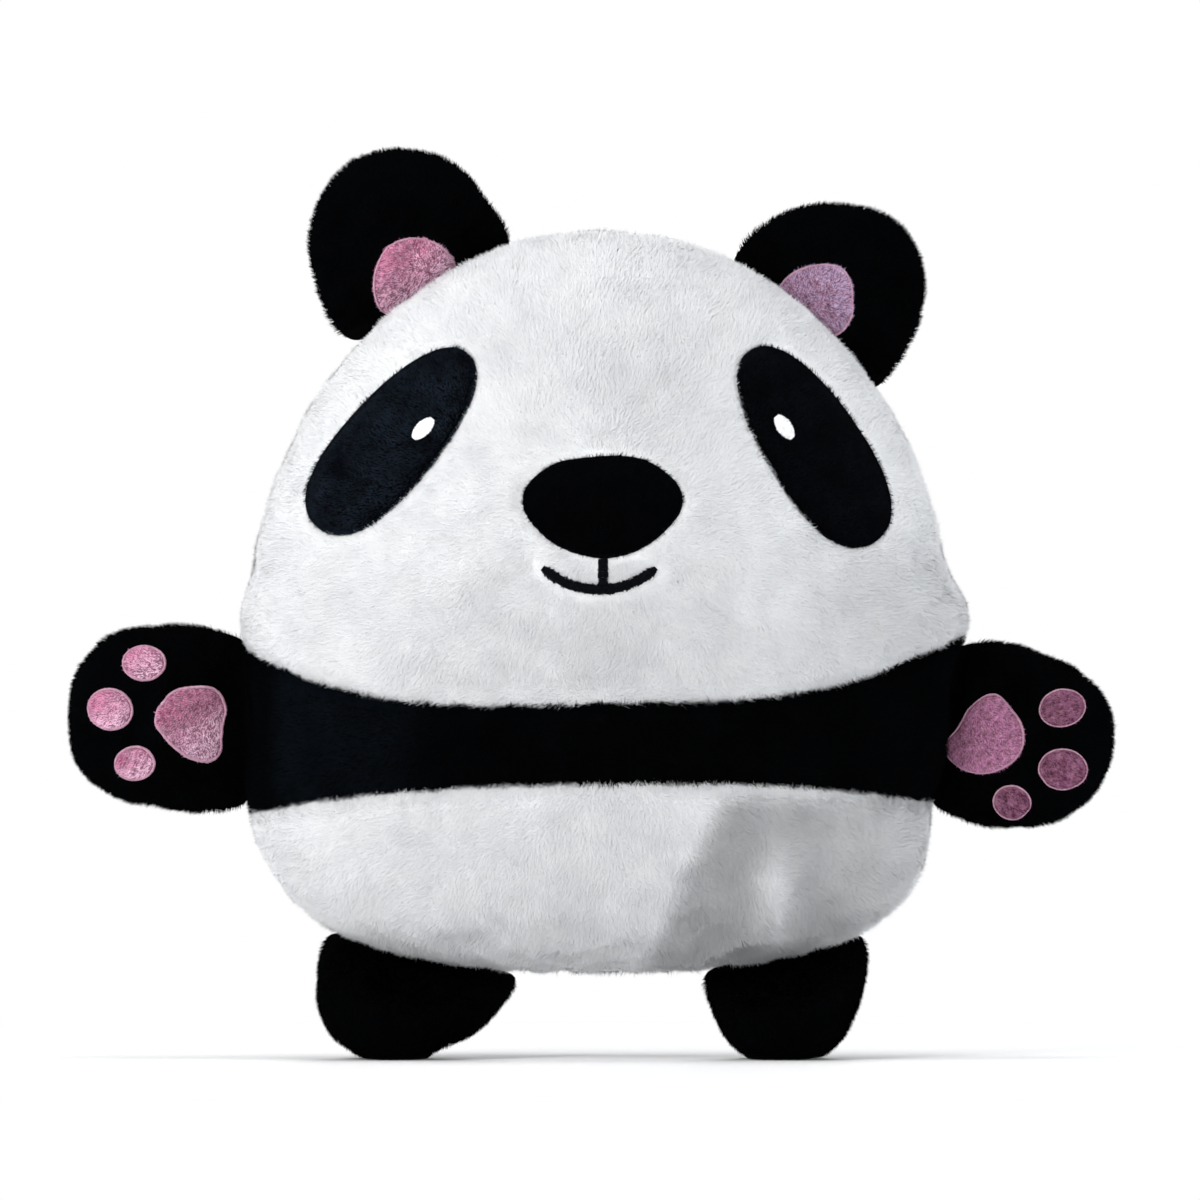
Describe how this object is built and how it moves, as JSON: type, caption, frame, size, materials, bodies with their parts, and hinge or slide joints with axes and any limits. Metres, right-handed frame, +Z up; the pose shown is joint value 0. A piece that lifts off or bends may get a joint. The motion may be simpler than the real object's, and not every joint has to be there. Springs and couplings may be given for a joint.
{
  "type": "plush panda",
  "caption": "Stuffed pillow-shaped panda with a sewn chest band, seam-set ears, arms and feet, applique face and paw pads.",
  "frame": {"origin": "on the floor under the toy, midway between the tips of its two arms and midway through its depth", "axes": "+Z up, the face looks along -Y, +X towards the arm that is on the right when facing the toy"},
  "size_m": [0.4622, 0.1604, 0.4006],
  "materials": {
    "white_plush": "soft white short-pile plush",
    "black_plush": "black short-pile plush",
    "pink_plush": "pink short-pile plush, flecked",
    "white_embroidery": "dense white embroidery",
    "black_embroidery": "black satin stitch",
    "pale_pink_satin_stitch": "pale pink satin stitch",
    "white_thread": "white sewing thread",
    "fibre_stuffing": "loose fibre fill"
  },
  "bodies": {
    "body": {"head_front_panel": "white_plush", "head_back_panel": "white_plush", "chest_band_front": "black_plush", "chest_band_back": "black_plush", "belly_front_panel": "white_plush", "belly_back_panel": "white_plush", "body_stuffing": "fibre_stuffing", "closing_stitches": "white_thread", "eye_patch_left": "black_plush", "eye_patch_right": "black_plush", "eye_edge_stitching_left": "black_embroidery", "eye_edge_stitching_right": "black_embroidery", "eye_highlight_left": "white_embroidery", "eye_highlight_right": "white_embroidery", "nose_patch": "black_plush", "nose_edge_stitching": "black_embroidery", "mouth_smile_stitching": "black_embroidery", "mouth_line_stitching": "black_embroidery"},
    "ear_left": {"ear_front_panel_left": "black_plush", "ear_back_panel_left": "black_plush", "ear_inner_patch_left": "pink_plush", "ear_patch_stitching_left": "pale_pink_satin_stitch", "ear_stuffing_left": "fibre_stuffing"},
    "ear_right": {"ear_front_panel_right": "black_plush", "ear_back_panel_right": "black_plush", "ear_inner_patch_right": "pink_plush", "ear_patch_stitching_right": "pale_pink_satin_stitch", "ear_stuffing_right": "fibre_stuffing"},
    "arm_left": {"arm_palm_panel_left": "black_plush", "arm_back_panel_left": "black_plush", "palm_pad_left": "pink_plush", "toe_pad_1_left": "pink_plush", "toe_pad_2_left": "pink_plush", "toe_pad_3_left": "pink_plush", "pad_stitching_left": "pale_pink_satin_stitch", "arm_stuffing_left": "fibre_stuffing"},
    "arm_right": {"arm_palm_panel_right": "black_plush", "arm_back_panel_right": "black_plush", "palm_pad_right": "pink_plush", "toe_pad_1_right": "pink_plush", "toe_pad_2_right": "pink_plush", "toe_pad_3_right": "pink_plush", "pad_stitching_right": "pale_pink_satin_stitch", "arm_stuffing_right": "fibre_stuffing"},
    "foot_left": {"foot_front_panel_left": "black_plush", "foot_back_panel_left": "black_plush", "foot_sole_left": "black_plush", "foot_stuffing_left": "fibre_stuffing"},
    "foot_right": {"foot_front_panel_right": "black_plush", "foot_back_panel_right": "black_plush", "foot_sole_right": "black_plush", "foot_stuffing_right": "fibre_stuffing"}
  },
  "joints": [
    {"name": "ear_left_fold", "type": "hinge", "parent": "body", "child": "ear_left", "pos_m": [-0.07854, 0, 0.34001], "axis": [0.866, 0, 0.5], "range_deg": [-45, 45], "stiffness_Nm_per_rad": 0.15},
    {"name": "ear_right_fold", "type": "hinge", "parent": "body", "child": "ear_right", "pos_m": [0.094, 0, 0.32758], "axis": [0.7513, 0, -0.66], "range_deg": [-45, 45], "stiffness_Nm_per_rad": 0.15},
    {"name": "arm_left_fold", "type": "hinge", "parent": "body", "child": "arm_left", "pos_m": [-0.15954, 0, 0.148], "axis": [0, 0, 1], "range_deg": [-45, 50], "stiffness_Nm_per_rad": 0.25},
    {"name": "arm_right_fold", "type": "hinge", "parent": "body", "child": "arm_right", "pos_m": [0.15615, 0, 0.14585], "axis": [-0.1736, 0, -0.9848], "range_deg": [-45, 50], "stiffness_Nm_per_rad": 0.25},
    {"name": "foot_left_fold", "type": "hinge", "parent": "body", "child": "foot_left", "pos_m": [-0.07996, 0, 0.04118], "axis": [-0.9744, 0, 0.225], "range_deg": [-28, 28], "stiffness_Nm_per_rad": 1.5},
    {"name": "foot_right_fold", "type": "hinge", "parent": "body", "child": "foot_right", "pos_m": [0.08201, 0, 0.04165], "axis": [-0.9715, 0, -0.2368], "range_deg": [-28, 28], "stiffness_Nm_per_rad": 1.5}
  ]
}
